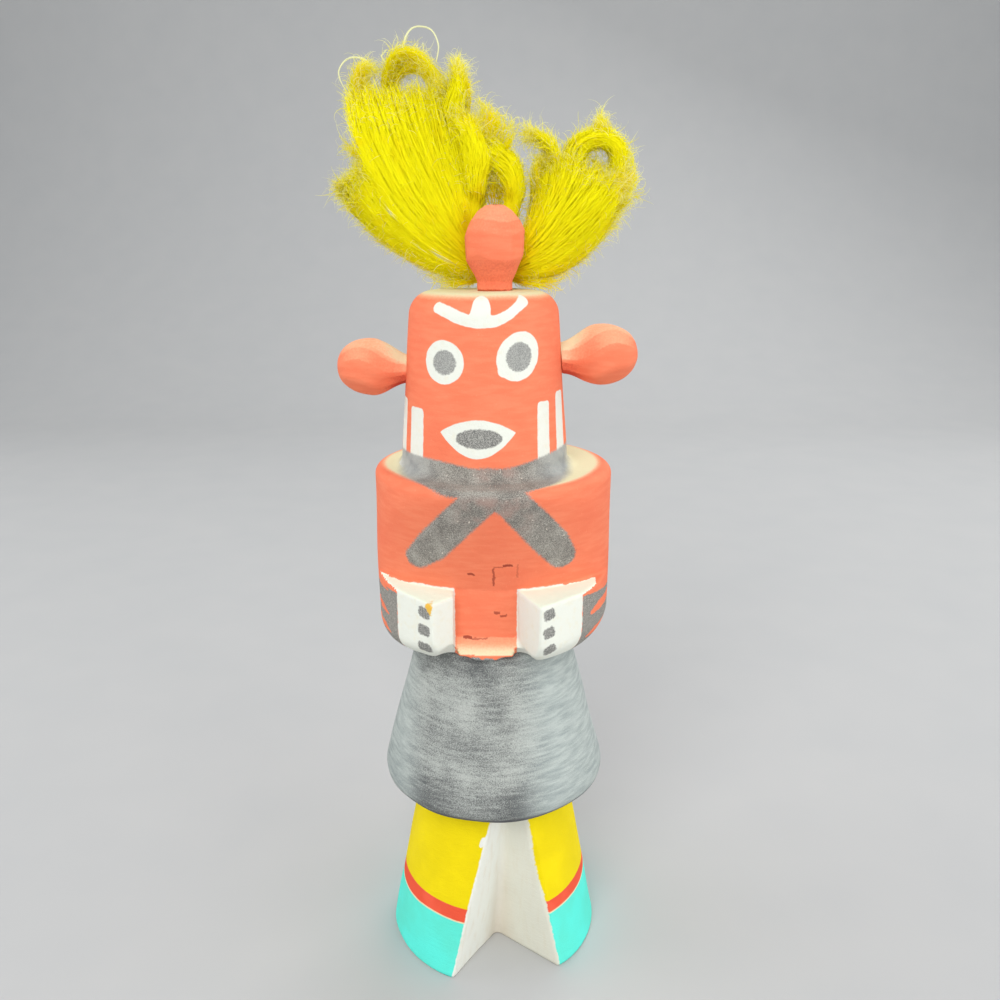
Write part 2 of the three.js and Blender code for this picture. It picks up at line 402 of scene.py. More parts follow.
# The face is drawn on the head's unrolled side: (distance round from the front line, height), and for a
# stroke its half width. An oval is its centre, its half sizes and its tilt, a bar is (from, to) both ways.
FOREHEAD = [(-10.6, 162.1, 1.1), (-8.0, 161.3, 1.25), (-5.6, 160.3, 1.3), (-3.4, 159.6, 1.25),
            (-0.6, 159.4, 1.35), (2.4, 159.5, 1.2), (5.3, 160.7, 1.05), (7.6, 162.3, 0.95),
            (9.9, 163.6, 1.05)]
FOREHEAD_TAB = [(-0.6, 160.8, 2.2), (-0.45, 162.6, 1.95)]
LIPS = Sizes(centre=(-1.4, 134.9), half=(8.5, 4.15), sag=1.3, fullness=1.9)
EYE_RINGS = [((-8.9, 150.9), (4.75, 4.6), 0), ((7.75, 152.2), (5.4, 4.75), 50)]
EYE_CORNER = ((4.3, 149.3), (1.3, 1.3), 0)
PUPILS = [((-8.7, 150.85), (2.8, 2.6), 0), ((7.85, 152.1), (3.1, 2.95), 60)]
MOUTH = ((-1.05, 135.0), (5.05, 2.1), 0)
CHEEKS = [((-27.2, -22.4), (124, 141.8)), ((-19.8, -14.8), (124, 140.5)),
          ((12.6, 16.4), (124, 142.2)), ((19.3, 23.4), (124, 143.6))]
CHEEK_ROUNDING = 0.9
# The scarf's band goes round the neck between two heights. Its upper edge is lowest in front, and rises by
# these amounts over these runs to the left and to the right, and by one amount at the back.
BAND = Sizes(high=128.4, low=124.2, front=1.0, rises=(1.7, 2.9), runs=(8.0, 13.0), back_rise=2.3)
# The band's foot on the shoulders is a ring round the head, with a radius at the left and one at the right.
RING = Sizes(radii=(19.4, 19.7), front_reach=8.1, dent=1.0)
# The scarf's tails are drawn straight from the front: (x, z, half width).
TAILS = [[(0.4, 126.2, 3.4), (-3.6, 122.8, 3.8), (-7.8, 118.2, 3.9), (-13.7, 111.2, 3.8),
          (-16.8, 108.0, 2.9)],
         [(0.2, 126.2, 3.4), (4.4, 122.6, 3.7), (8.2, 118.2, 4.0), (12.9, 112.2, 4.0), (15.2, 108.6, 3.3)]]
# The hands and cuffs are drawn on the stick's unrolled side: (distance round, height, half width).
HAND_PAINT = Sizes(inner=(-8.75, 5.3), low=83.4, over=0.35, ledge=0.9, ledge_end=23.5)
CUFF = Sizes(edges=(-25.2, 22.4), high=99.3, slope=0.13, low=83.3, back=50.6)
CUFF_STRIPES = [[(-52, 99.9, 0.8), (-34, 99.3, 0.8), (-29.2, 98.7, 0.1)],
                [(-52, 94.1, 1.0), (-33, 93.5, 0.9), (-29.0, 92.7, 0.1)],
                [(-52, 89.8, 1.0), (-32, 89.0, 0.9), (-28.8, 88.2, 0.1)],
                [(26.0, 94.1, 0.5), (30, 94.7, 1.15), (52, 95.2, 1.15)],
                [(25.6, 88.2, 0.4), (29, 88.8, 1.15), (52, 89.2, 1.15)]]
# A daub of the groove's white on the left leg: (x, z, half width).
DAUB = [(-3.1, 34.8, 0.45), (-2.5, 36.2, 0.75)]
YELLOW_SPOT = [(-15.1, 98.4, 1.0), (-14.6, 96.9, 0.2)]
FINGER_HALF_HEIGHT = 1.3
# Each finger mark is (distance round, height, half width, turn in degrees).
FINGER_MARKS = [(-16.5, 96.9, 1.8, -8), (-16.7, 92.7, 1.8, -4), (-16.9, 88.3, 1.9, -2),
                (12.9, 97.1, 1.5, 14), (12.9, 92.8, 1.5, 16), (13.4, 88.4, 1.6, 22)]
# The kilt's grey runs up over the torso's lower edge, and further between the hands: (x from, x to).
SKIRT = Sizes(high=84.9, low=83.45, between=(-8.9, 5.4))
TOP_SHEEN_RIM = 25.3                        # the painted pale highlight on the shoulders' upward faces lies inside this radius
# The red stripe on the legs, at the left and at the right: its height in front, its rise to the side and
# half its width.
STRIPE = Sizes(heights=(16.9, 16.0), rises=(-0.4, 1.2), halves=(1.75, 1.5))
OUTSIDE = -9.0                          # a mark's distance where the mark can't be


def most(values):
    """The largest of several values at each point, a join of marks."""
    return np.maximum.reduce(list(values))


def least(*values):
    """The smallest of several values at each point, the part that marks share."""
    return np.minimum.reduce(values)


def finger_mark(u, v, mark):
    """One finger's dash: a small rounded rectangle."""
    a, b = turned_by(u, v, mark[:2], mark[3])
    return bar(a, b, (-mark[2], mark[2]), (-FINGER_HALF_HEIGHT, FINGER_HALF_HEIGHT), 0.8)


def face_white(around, z):
    """The face's white strokes, lips, rings and cheek stripes."""
    along_lips = (around - LIPS.centre[0]) / LIPS.half[0]
    lips = LIPS.half[1] * (1 - np.abs(along_lips) ** LIPS.fullness)
    lips = lips - np.abs(z - LIPS.centre[1] - LIPS.sag * along_lips ** 2)
    strokes = [stroke(around, z, line) for line in (FOREHEAD, FOREHEAD_TAB)]
    rings = [oval(around, z, *ring) for ring in EYE_RINGS + [EYE_CORNER]]
    stripes = [bar(around, z, *cheek, CHEEK_ROUNDING) for cheek in CHEEKS]
    return most([lips] + strokes + rings + stripes)


def scarf_parts(x, y, z, around, turn, head_reach):
    """The scarf's band, its ring on the shoulders, its tails, and the height of the band's upper edge."""
    left = around < BAND.front
    rise, run = np.where(left, *BAND.rises), np.where(left, *BAND.runs)
    rise = rise + (BAND.back_rise - rise) * ease(np.abs(turn), 110, 175)
    edge = BAND.high + rise * (1 - np.exp(-((around - BAND.front) / run) ** 2))
    edge = edge + 0.5 * np.exp(-((around - 0.6) / 2) ** 2)
    ring = np.where(turn < 0, *RING.radii) + RING.front_reach * (1 - ease(np.abs(turn), 10, 86))
    ring = ring - head_reach - RING.dent * np.exp(-((turn + 35) / 16) ** 2)
    tails = np.minimum(most([stroke(x, z, tail) for tail in TAILS]), -y)
    tails = np.where(z > TORSO.high + 0.2, OUTSIDE, tails)
    return np.minimum(edge - z, z - BAND.low), ring, tails, edge


def hand_and_cuff(x, y, z, up, turned):
    """The white of the hands and of the ledges on them, and the grey cuffs beside them."""
    left = x < 0
    top = hand_top(y, z)
    outer = np.where(left, turned - CUFF.edges[0], CUFF.edges[1] - turned)
    inner = np.where(left, HAND_PAINT.inner[0] - x, x - HAND_PAINT.inner[1])
    ledge = (up > 0.5) & (np.abs(top) < HAND_PAINT.ledge)
    ledge_end = np.where(left, -OUTSIDE, HAND_PAINT.ledge_end - x)
    hand = least(HAND_PAINT.over - top, inner, z - HAND_PAINT.low, -y, np.where(ledge, ledge_end, outer))
    high = CUFF.high - np.where(left, 0, CUFF.slope * (turned - CUFF.edges[1]))
    stripes = most([stroke(turned, z, stripe) for stripe in CUFF_STRIPES])
    cuff = least(-outer, CUFF.back - np.abs(turned), high - z, z - CUFF.low, -stripes)
    return hand, np.where(ledge, -3.0, cuff)


def top_sheen_share(x, y, z, up, head_angle, off_head, band_edge):
    """How much painted pale highlight the upward faces get: on the shoulders, the crown and the foot of the
    recess.
    """
    rim = TOP_SHEEN_RIM + 0.8 * np.sin(3 * head_angle + 1) - length(x, y)
    shoulder = ease(rim, -1.4, 1.4) * (z < band_edge - 0.5) * (z > 120)
    fillet = ease(off_head, -0.35, 0.05) * (z > TORSO.high - 0.3)
    crown = (z > 150) * ease(up, 0.64, 1.04)
    foot = (z < 89) * (y < 0) * (up > 0.2) * (0.4 + 0.5 * ease(-z, -88, -85.6))
    return most([shoulder * np.maximum(ease(up, 0.3, 0.8), fillet), crown, foot])


def thin_share(x, y, z):
    """How thin the scarf's grey is: where its tails cross, and in the middle of its band."""
    crossing = ease(-length(x - 0.5, z - 121), -11, -3) * ease(-z, -125.4, -123.6)
    middle = 0.9 * ease(-length(x - 0.8, 2 * (z - 128)), -6.5, -2) * (z > 126)
    return np.maximum(crossing, middle) * (y < 0)


def upper_marks(points, ways):
    """Every painted region of the head and torso, by name."""
    x, y, z = points.T
    up = ways[:, 2]
    head_reach = length(x - HEAD.x, y)
    head_angle = np.arctan2(x - HEAD.x, -y)
    turn = np.degrees(head_angle)
    taper = (HEAD.neck - HEAD.crown) / (HEAD.high - TORSO.high)
    around = head_angle * (HEAD.neck - taper * (z - TORSO.high))
    off_head = head_reach - HEAD.neck + taper * (z - TORSO.high)
    turned = np.arctan2(x, -y) * STICK_RADIUS
    on_head = z > TORSO.high + 0.6

    inner = most(oval(around, z, *spot) for spot in PUPILS + [MOUTH])
    fingers = most(finger_mark(turned, z, mark) for mark in FINGER_MARKS)
    band, ring, tails, band_edge = scarf_parts(x, y, z, around, turn, head_reach)
    hand, cuff = hand_and_cuff(x, y, z, up, turned)
    between = (x > SKIRT.between[0]) & (x < SKIRT.between[1]) & (y < 0)
    skirt_high = np.where(between, SKIRT.high - 0.5 * ease(np.sin(2.1 * x + 0.6), 0.3, 1), SKIRT.low)
    return {
        "face": np.where(on_head, face_white(around, z), -5.0),
        "dots": np.where(on_head, inner, np.minimum(fingers, -y)),
        "scarf": np.maximum(band, tails),
        "ring": np.maximum(ring, tails),
        "hand": np.where(on_head, OUTSIDE, hand),
        "cuff": np.where(on_head, OUTSIDE, cuff),
        "skirt": skirt_high - z,
        "thin": thin_share(x, y, z),
        # painted pale highlight on upward faces
        "top_sheen": top_sheen_share(x, y, z, up, head_angle, off_head, band_edge),
        "up": up,
        "spot": np.minimum(stroke(turned, z, YELLOW_SPOT), -y),
        "rough": z < 140,
        "side": ease(np.abs(turn), 22, 58) * (z > 120),
    }


def lower_marks(points, ways):
    """Every painted region of the kilt and legs, by name."""
    x, y, z = points.T
    aside = np.abs(np.sin(np.arctan2(x, -y)))
    middle = np.where(x < 0, *STRIPE.heights) + aside * np.where(x < 0, *STRIPE.rises)
    half = np.where(x < 0, *STRIPE.halves)
    return {
        "kilt": z - KILT.low + 0.6,
        "cut": np.maximum(grooves(x, y, z) + 0.3, np.minimum(stroke(x, z, DAUB), -y)),
        "stripe": half - np.abs(z - middle),
        "boot": middle - half - z,
        # painted shade deep inside the groove
        "deep": ease(-length(x, y), -16, -9.5),
        "hem": ease(-z, -47.8, -46.2),
        "smooth": np.maximum(ease(x, 3, 15), 0.8 * ease(-x, 15, 23)) * (z > 40),
        # painted shade on the groove's right wall
        "right": ease(x, 0.5, 3.5),
        # painted shade at the kilt's top under the torso and towards its lower edge
        "dark": ease(-z, -58, -48) + ease(z, 74, 84),
        "under": -ways[:, 2] * (z < 2) - 0.5,
    }


# ---------- materials ----------

def tint(red, green, blue):
    """A colour given as 0-255 screen values."""
    parts = [part / 255 for part in (red, green, blue)]
    linear = [part / 12.92 if part <= 0.04045 else ((part + 0.055) / 1.055) ** 2.4 for part in parts]
    return (*linear, 1.0)


class Paint:
    """A material's nodes, made by short calls."""

    def __init__(self, name, roughness=0.8):
        self.material = bpy.data.materials.new(name)
        self.material.use_nodes = True
        self.nodes = self.material.node_tree.nodes
        self.shader = self.nodes["Principled BSDF"]
        self.shader.inputs["Roughness"].default_value = roughness
        self.shader.inputs["Specular IOR Level"].default_value = 0.2
        self.place = self.node("TexCoord").outputs["Object"]
        self.axes = dict(zip("xyz", self.node("SeparateXYZ", {0: self.place}).outputs))

    def feed(self, value, socket):
        if isinstance(value, bpy.types.NodeSocket):
            self.material.node_tree.links.new(value, socket)
        else:
            socket.default_value = value

    def node(self, kind, inputs=(), **settings):
        """A new node with its settings, and with values or links for its inputs."""
        node = self.nodes.new("ShaderNode" + kind)
        for name, value in settings.items():
            setattr(node, name, value)
        for name, value in dict(inputs).items():
            self.feed(value, node.inputs[name])
        return node

    def math(self, operation, *values):
        return self.node("Math", enumerate(values), operation=operation).outputs["Value"]

    def mark(self, name):
        return self.node("Attribute", attribute_name=name).outputs["Fac"]

    def noise(self, size, detail=2.0, stretch=(1, 1, 1), roughness=0.5):
        """Noise from about 0 to 1 with features of a size in millimetres, longer along the stretched axes."""
        scale = [1 / (size * UNIT * part) for part in stretch]
        shift = (3.1 * size, 1.7 + size, 5.3 - size)
        mapping = self.node("Mapping", {"Scale": scale, "Location": shift, "Vector": self.place})
        noise = {"Scale": 1.0, "Detail": detail, "Roughness": roughness, "Vector": mapping.outputs["Vector"]}
        return self.node("TexNoise", noise).outputs["Fac"]

    def ease(self, value, low, high, bottom=0.0, top=1.0):
        inputs = {"Value": value, "From Min": low, "From Max": high, "To Min": bottom, "To Max": top}
        return self.node("MapRange", inputs, interpolation_type="SMOOTHSTEP").outputs["Result"]

    def mix(self, share, below, above):
        """One colour, and a share of another over it. A Mix node's colours are its inputs 6 and 7."""
        return self.node("Mix", {0: share, 6: below, 7: above}, data_type="RGBA").outputs[2]

    def times(self, one, other):
        return self.math("MULTIPLY", one, other)

    def centred(self, noise, amount):
        """Noise spread evenly about zero, over an amount in all."""
        return self.math("MULTIPLY_ADD", noise, amount, -amount / 2)

    def graded(self, value, low, high, below, above, top=1.0):
        """One colour where a value is low, and up to a share of another where it is high."""
        return self.mix(self.ease(value, low, high, 0.0, top), below, above)

    def span(self, axis, low, high, wobble, soft=0.12):
        """1 where the place along an axis, in millimetres, is between two values."""
        place = self.math("ADD", self.times(self.axes[axis], 1 / UNIT), wobble)
        away = self.math("ABSOLUTE", self.math("SUBTRACT", place, (low + high) / 2))
        return self.ease(self.math("SUBTRACT", (high - low) / 2, away), -soft, soft)

    def edge(self, distance, wobble, amount, soft=0.12):
        """A mask that is 1 inside a painted mark, with a hand-painted edge."""
        return self.ease(self.math("ADD", distance, self.centred(wobble, 2 * amount)), -soft, soft)

    def lay(self, mark, wobble, amount, under, over, soft=0.12):
        """A painted mark's colour over what is under it."""
        return self.mix(self.edge(self.mark(mark), wobble, amount, soft), under, over)

    def finish(self, colour, height=None, depth=0.1):
        """The material in a colour, with a bump that is depth millimetres deep if it has a height."""
        self.feed(colour, self.shader.inputs["Base Color"])
        if height is not None:
            bump = self.node("Bump", {"Distance": depth * UNIT, "Height": height})
            self.feed(bump.outputs["Normal"], self.shader.inputs["Normal"])
        return self.material


WHITE_PAINT = tint(232, 234, 223)
RED_PAINT = [tint(243, 127, 91), tint(248, 140, 103), tint(239, 119, 86)]
# The cream of the painted highlight on upward faces.
SHEEN_CREAM = tint(230, 224, 184)
KILT_GREYS = [tint(92, 94, 94), tint(186, 190, 184)]
GREYS = [tint(112, 107, 101), tint(175, 171, 161), tint(172, 130, 118)]
# Small chips and cracks on the chest and its recess, as (x from, x to, z from, z to, how dark).
CHIPS = [(-5.8, -4.0, 104.3, 104.9, 0.8), (-0.2, 0.2, 101.3, 106.3, 0.7), (0.0, 2.2, 106.4, 106.8, 0.5),
         (2.2, 4.4, 106.8, 107.4, 0.85), (5.1, 5.5, 103.5, 107.2, 0.3), (0.1, 1.6, 94.4, 95.0, 0.7),
         (1.5, 2.8, 93.5, 94.1, 0.7), (-7.0, -4.8, 88.2, 88.8, 0.85), (-4.9, -1.4, 88.2, 88.5, 0.6)]


def red_layers(paint, top_sheen):
    """The brushed red, turned to a painted pale highlight, through pale red to cream, where the top sheen
    share is high.
    """
    streaks = paint.noise(1.1, 3.0, stretch=(5, 5, 1))
    patches = paint.noise(14, 2.0)
    grain = paint.noise(0.45, 2.0)
    red = paint.graded(streaks, 0.3, 0.75, RED_PAINT[0], RED_PAINT[1], top=0.8)
    red = paint.graded(patches, 0.46, 0.7, red, RED_PAINT[2], top=0.5)
    red = paint.graded(grain, 0.62, 0.8, red, tint(252, 160, 124), top=0.3)
    # Painted highlight: upward faces go from the red through a pale red to cream.
    broken = paint.math("ADD", top_sheen, paint.centred(grain, 0.3))
    sheen_blend = paint.graded(broken, 0.05, 0.55, red, tint(250, 178, 138), top=0.75)
    return paint.graded(broken, 0.4, 0.95, sheen_blend, SHEEN_CREAM), grain


def scarf_layers(paint, fine, cloud, side):
    """The scarf's grainy grey: rubbed thin in front, and brushed smoother at the sides."""
    value = paint.math("MULTIPLY_ADD", cloud, 0.35, paint.times(fine, 0.9))
    grey = paint.graded(value, 0.46, 0.8, GREYS[0], GREYS[1])
    worn = paint.ease(cloud, 0.35, 0.65)
    grey = paint.mix(paint.times(paint.times(paint.mark("thin"), worn), 0.5), grey, GREYS[2])
    grey = paint.graded(paint.noise(0.5, 0.0), 0.78, 0.83, grey, tint(226, 215, 200), top=0.8)
    brushed = paint.mix(worn, tint(152, 157, 156), tint(176, 180, 176))
    return paint.mix(paint.times(side, 0.85), grey, brushed)


def upper_paint():
    """The paint of the head, face, scarf, chest and hands."""
    paint = Paint("painted_wood_upper")
    # The red, with its painted pale highlight on upward faces.
    colour, _ = red_layers(paint, paint.mark("top_sheen"))
    wobble = paint.noise(1.3, 3.0)
    fine_wobble = paint.noise(0.5, 2.0)
    fine = paint.noise(0.24, 2.0, roughness=0.7)
    cloud = paint.noise(4.0, 3.0)
    white = paint.graded(paint.noise(1.6, 3.0), 0.5, 0.75, WHITE_PAINT, tint(230, 224, 198), top=0.35)
    colour = paint.lay("face", wobble, 0.16, colour, white)

    side = paint.mark("side")
    soft = paint.math("MULTIPLY_ADD", side, 1.2, 0.42)
    ring = paint.math("ADD", paint.mark("ring"), paint.centred(fine_wobble, 0.9))
    ring = paint.ease(ring, paint.times(soft, -1), soft)
    scarf = paint.times(ring, paint.edge(paint.mark("scarf"), fine_wobble, 0.4, soft=0.42))
    colour = paint.mix(scarf, colour, scarf_layers(paint, fine, cloud, side))

    cuff = paint.graded(fine, 0.38, 0.66, tint(122, 119, 114), tint(172, 168, 159))
    colour = paint.lay("cuff", wobble, 0.3, colour, cuff)
    # Painted highlight: the hands' white is tinted pale green on their upward faces.
    hand = paint.graded(paint.mark("up"), 0.4, 0.9, white, tint(232, 250, 228), top=0.8)
    colour = paint.lay("hand", wobble, 0.25, colour, hand)
    eyes = paint.graded(fine, 0.38, 0.66, tint(142, 143, 139), tint(180, 180, 174))
    rough = paint.graded(fine, 0.4, 0.62, tint(112, 112, 109), tint(172, 171, 164))
    dark = paint.mix(paint.mark("rough"), eyes, rough)
    colour = paint.lay("dots", fine_wobble, 0.36, colour, dark, soft=0.22)
    colour = paint.lay("spot", fine_wobble, 0.4, colour, tint(236, 186, 74), soft=0.2)

    ragged = paint.centred(wobble, 1.1)
    front = paint.math("LESS_THAN", paint.axes["y"], 0)
    for x_low, x_high, z_low, z_high, strength in CHIPS:
        chip = paint.times(paint.span("x", x_low, x_high, ragged), paint.span("z", z_low, z_high, ragged))
        colour = paint.mix(paint.times(paint.times(chip, front), strength), colour, tint(140, 50, 38))
    skirt = paint.graded(fine, 0.3, 0.7, *KILT_GREYS)
    colour = paint.lay("skirt", wobble, 0.5, colour, skirt)
    return paint.finish(colour, paint.math("MULTIPLY_ADD", fine, 0.5, wobble), 0.12)


def kilt_layers(paint, fine, streaks, cloud):
    """The kilt's streaked grey, with painted shade at its top under the torso and towards its lower edge,
    smoother at the sides.
    """
    value = paint.math("ADD", paint.times(streaks, 0.35), paint.times(fine, 0.75))
    value = paint.math("ADD", value, paint.math("MULTIPLY_ADD", cloud, 0.3, -0.2))
    # Painted shade: the grey darkens under the torso and towards the kilt's lower edge.
    value = paint.math("SUBTRACT", value, paint.times(paint.mark("dark"), 0.115))
    kilt = paint.graded(value, 0.26, 0.68, *KILT_GREYS)
    smooth = paint.graded(streaks, 0.3, 0.7, tint(164, 174, 172), tint(192, 201, 196))
    kilt = paint.mix(paint.times(paint.mark("smooth"), 0.8), kilt, smooth)
    hem = paint.math("MULTIPLY_ADD", fine, 0.6, paint.mark("hem"))
    return paint.graded(hem, 0.35, 1.2, kilt, tint(88, 88, 92), top=0.9)


def lower_paint():
    """The paint of the kilt, the legs with their stripes, the feet and the groove."""
    paint = Paint("painted_wood_lower")
    fine = paint.noise(0.22, 2.0, roughness=0.7)
    streaks = paint.noise(0.8, 4.0, stretch=(7, 7, 1), roughness=0.6)
    cloud = paint.noise(9, 2.0)
    wobble = paint.noise(1.2, 3.0)
    yellow = paint.graded(cloud, 0.35, 0.7, tint(238, 214, 0), tint(246, 222, 2))
    red = paint.graded(cloud, 0.4, 0.6, tint(238, 88, 60), tint(246, 98, 70))
    green = paint.graded(cloud, 0.35, 0.7, tint(98, 232, 210), tint(96, 240, 222))
    colour = paint.lay("boot", wobble, 0.12, yellow, green)
    near_boot = paint.math("SUBTRACT", 0.35, paint.math("ABSOLUTE", paint.mark("boot")))
    colour = paint.mix(paint.edge(near_boot, wobble, 0.08), colour, tint(240, 222, 180))
    colour = paint.lay("stripe", wobble, 0.1, colour, red)
    smear = paint.noise(1.3, 3.0, stretch=(1, 1, 5))
    white = paint.graded(smear, 0.45, 0.8, tint(238, 239, 230), tint(226, 217, 198), top=0.45)
    # Painted shade: the groove's white is darker on its right wall and deep inside it.
    white = paint.mix(paint.times(paint.mark("right"), 0.6), white, tint(224, 221, 200))
    white = paint.mix(paint.times(paint.mark("deep"), 0.6), white, tint(222, 208, 186))
    colour = paint.lay("cut", wobble, 0.22, colour, white)
    bare = paint.mix(streaks, tint(222, 196, 152), tint(204, 172, 126))
    colour = paint.graded(paint.mark("under"), 0.1, 0.3, colour, bare)
    colour = paint.lay("kilt", wobble, 0.5, colour, kilt_layers(paint, fine, streaks, cloud), soft=0.15)
    return paint.finish(colour, paint.math("ADD", fine, streaks), 0.12)


def peg_paint(name):
    """The red of an ear or of the knob, with painted shade where it turns under."""
    paint = Paint(name)
    # The red, with its painted pale highlight on upward faces.
    colour, grain = red_layers(paint, paint.mark("top_sheen"))
    # Painted shade: the red darkens towards a deep red where the under mark is high.
    shade = paint.math("MULTIPLY_ADD", grain, 0.5, paint.mark("under"))
    colour = paint.graded(shade, 0.45, 1.15, colour, tint(196, 74, 58), top=0.85)
    return paint.finish(colour, grain, 0.1)


# ---------- the wooden pieces ----------

def dress(node, name, field, voxel, marks, material, uneven, cut=None, above=True):
    """A fine, even copy of a CAD node, or of its part above or below a cut, settled on its field, with the
    unevenness that a knife leaves (amount, wavelength, seed), its painted marks and its material."""
    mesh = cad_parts[node].data.copy()
    if cut is not None:
        mesh = kept_part(mesh, cut, above)
    mesh = applied(mesh, "REMESH", mode="VOXEL", voxel_size=voxel * UNIT)
    points = settle(mesh_points(mesh), field)
    ways = unit(slope(field, points))
    amount, wavelength, seed = uneven
    points = points + ways * (amount * waves(points, wavelength, seed))[:, None]
    points[:, 2] = np.maximum(points[:, 2], 0)
    set_points(mesh, points)
    for mark, values in marks(points, ways).items():
        set_mark(mesh, mark, values)
    return add_piece(name, mesh, material)


def ear_marks(points, ways):
    """Where an ear gets a painted pale highlight on top, and painted shade in its lower corner with the head.
    """
    near_head = ease(-np.abs(points[:, 0] - HEAD.x), -25.5, -18)
    up = ways[:, 2]
    top_sheen = 0.52 * ease(up, 0.1, 0.9) + 0.6 * near_head * ease(up, -0.5, 0.35)
    return {"top_sheen": top_sheen, "under": near_head * ease(-up, 0.2, 0.75)}


def knob_marks(points, ways):
    """Where the knob gets a painted pale highlight on top, and painted shade below its widest band."""
    up = ways[:, 2]
    below = HEAD.high + KNOB.widest - points[:, 2]
    return {"top_sheen": 0.36 * ease(up, 0.1, 0.8), "under": 0.42 * ease(below, -0.2, 0.5)}


WAIST_CUT = 83.3                        # the torso's flat underside, where the two body pieces meet
BODY_VOXEL = 0.48 if FINE else 0.9
SMALL_VOXEL = 0.3 if FINE else 0.6
upper = dress("body", "doll_upper", upper_field, BODY_VOXEL, upper_marks, upper_paint(),
              uneven=(0.1, 16, 1), cut=WAIST_CUT, above=True)
lower = dress("body", "doll_lower", lower_field, BODY_VOXEL, lower_marks, lower_paint(),
              uneven=(0.12, 14, 2), cut=WAIST_CUT, above=False)
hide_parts("body")
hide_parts("body")
for ear_name, ear in EARS.items():
    ear_piece = dress(ear_name, "carved_" + ear_name, ear_field(ear), SMALL_VOXEL, ear_marks,
                      peg_paint("painted_" + ear_name), uneven=(0.08, 5, 3))
    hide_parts(ear_name)
knob_piece = dress("top_knob", "carved_top_knob", knob_field, SMALL_VOXEL, knob_marks,
                   peg_paint("painted_knob"), uneven=(0.06, 5, 4))
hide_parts("top_knob")


# ---------- the feather tuft ----------

def fan(depth, deep, share, *guides):
    """A sheaf of down between guide lines, each a list of (x, z) points from the root to the tips. depth is
    half its thickness, deep its place behind the tuft's middle plane, share its part of the strands."""
    return Sizes(depth=depth, deep=deep, share=share, guides=guides)


DENSE_FANS = {
    "left": [
        fan(7.2, 0.0, 1.0,
            [(-3, 166.8), (-13, 168.6), (-23.4, 174.4), (-30.6, 181), (-34.8, 186.6)],
            [(-3, 167.8), (-13, 171.4), (-22.6, 178), (-27.6, 183.8), (-30.8, 189.4)],
            [(-3, 168.4), (-12.6, 173.2), (-21, 180.6), (-25.2, 186.6), (-27, 191.6)],
            [(-3, 168.8), (-12.6, 174.2), (-21, 182), (-26.2, 190.6), (-29.8, 198.2), (-31.2, 204.4)],
            [(-2.6, 169.5), (-10.8, 176.6), (-17.8, 185.5), (-22.6, 195), (-26.2, 205.5)],
            [(-2.3, 170.8), (-8, 178.8), (-12.8, 187.7), (-16.9, 197), (-19.9, 206)],
            [(-1.7, 171.9), (-5.2, 180), (-8, 188.2), (-11, 197.4), (-13.5, 206.5)],
            [(-0.8, 173), (-1.9, 180.4), (-1.8, 186.4), (-3.4, 194), (-7.4, 206.4)]),
        fan(3.6, 0.6, 0.15,
            [(1, 176), (2.7, 182.5), (2.8, 186.4), (0.8, 189.6), (-2.6, 191.4), (-6, 192)],
            [(3.5, 174), (5.6, 181), (6.9, 187), (6, 192.6), (1.6, 197), (-4.4, 201.4)]),
        fan(4.8, -1.2, 0.15,
            [(-5, 179), (-6.4, 187), (-7.4, 194), (-10, 201.4)],
            [(-4, 179), (-3.4, 188), (-3.6, 194.6), (-6.4, 202)],
            [(-3, 180), (-1.4, 188.4), (-0.4, 193.6), (-3.2, 200)]),
        fan(3.4, -0.8, 0.08,
            [(-13, 199), (-11.2, 204.6), (-9, 208.6), (-7.8, 211.6)],
            [(-8.6, 198), (-6, 203.4), (-5.8, 207.4), (-7, 210.8)]),
    ],
    "right": [
        fan(6.2, 0.0, 0.55,
            [(3.5, 166.8), (11.5, 167.2), (18.2, 170), (24, 175.3), (27.6, 181.5)],
            [(3.5, 168), (12.5, 170.8), (20.2, 176.2), (25.8, 182.5), (28.8, 188.6)],
            [(3.5, 169.2), (11.4, 174.1), (17.4, 179.9), (22, 184.6), (25.2, 188.8)],
            [(3.6, 170.8), (9.1, 176.6), (12.9, 182.6), (15.8, 188), (17.2, 193)],
            [(3.6, 172), (7, 177.6), (8.9, 182.6), (10, 187.8), (11, 192.6)]),
        fan(2.8, 0.6, 0.2,
            [(11.4, 181), (15, 189.3), (16.2, 195.2), (19.1, 198.2), (24, 199.2), (28.7, 197.2),
             (29.9, 193.4), (29.4, 187)],
            [(15.4, 182), (19.2, 188.2), (20.6, 192.6), (21.8, 195), (24.1, 195.8), (26.4, 194.6),
             (26.9, 191.8), (26.3, 186.6)]),
        fan(1.8, -1.0, 0.07,
            [(15.4, 187), (15, 193.6), (13, 196.9), (10.6, 198.2), (8.6, 198.4)],
            [(13, 186.4), (13.2, 192.3), (12.2, 195.2), (10.4, 196.8), (8.8, 197.4)]),
    ],
}
